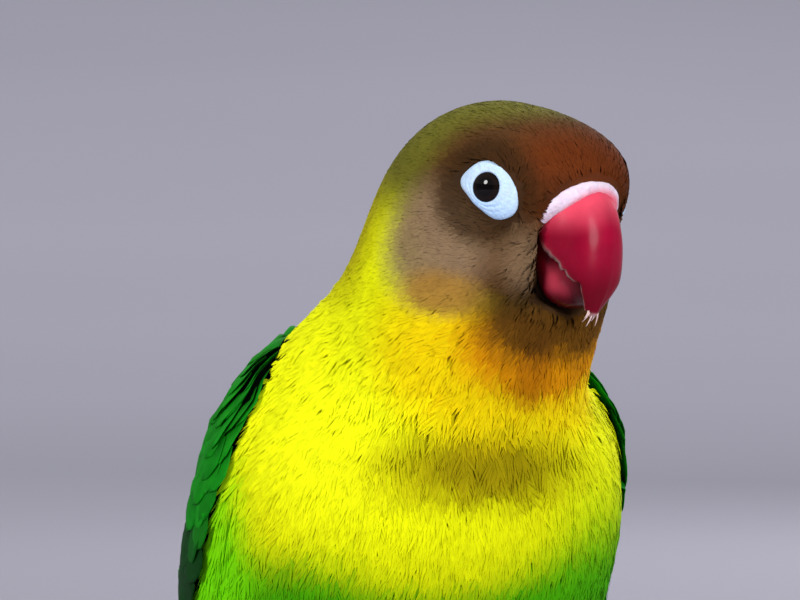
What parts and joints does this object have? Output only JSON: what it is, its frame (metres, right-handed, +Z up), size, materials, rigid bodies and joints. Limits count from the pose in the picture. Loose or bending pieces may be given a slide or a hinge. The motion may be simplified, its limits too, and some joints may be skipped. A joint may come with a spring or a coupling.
{
  "type": "eye-ring lovebird",
  "caption": "Still, life-size model of an eye-ring lovebird standing with its head turned aside, brown-headed, red-billed, yellow-breasted and green-winged.",
  "frame": {"origin": "bottom centre of the bird's box, on the floor between the feet and the tail tip", "axes": "+Z up, -Y the way the body faces, +X the bird's left"},
  "size_m": [0.0554, 0.0954, 0.1042],
  "materials": {
    "head_plumage": "short soft feathers, matte",
    "neck_plumage": "soft feathers, matte",
    "body_plumage": "soft feathers, matte",
    "wing_plumage": "firm overlapping feathers, slight sheen",
    "flight_feathers": "stiff vanes, slight sheen",
    "tail_feathers": "stiff vanes, slight sheen",
    "cere": "bare skin, matte",
    "bill": "waxy horn, glossy",
    "eye_ring": "bare wrinkled skin, matte",
    "eye": "wet, mirror-smooth",
    "leg_skin": "small scales, matte",
    "claw": "horn, satin"
  },
  "bodies": {
    "root": {"head": "head_plumage", "neck": "neck_plumage", "trunk": "body_plumage", "tail": "tail_feathers", "cere": "cere", "bill_upper": "bill", "bill_lower": "bill", "eye_ring_left": "eye_ring", "eye_left": "eye", "wing_left": "wing_plumage", "primaries_left": "flight_feathers", "thigh_left": "body_plumage", "shank_left": "leg_skin", "toe_inner_front_left": "leg_skin", "claw_inner_front_left": "claw", "toe_outer_front_left": "leg_skin", "claw_outer_front_left": "claw", "toe_outer_back_left": "leg_skin", "claw_outer_back_left": "claw", "toe_inner_back_left": "leg_skin", "claw_inner_back_left": "claw", "eye_ring_right": "eye_ring", "eye_right": "eye", "wing_right": "wing_plumage", "primaries_right": "flight_feathers", "thigh_right": "body_plumage", "shank_right": "leg_skin", "toe_inner_front_right": "leg_skin", "claw_inner_front_right": "claw", "toe_outer_front_right": "leg_skin", "claw_outer_front_right": "claw", "toe_outer_back_right": "leg_skin", "claw_outer_back_right": "claw", "toe_inner_back_right": "leg_skin", "claw_inner_back_right": "claw"}
  },
  "joints": []
}
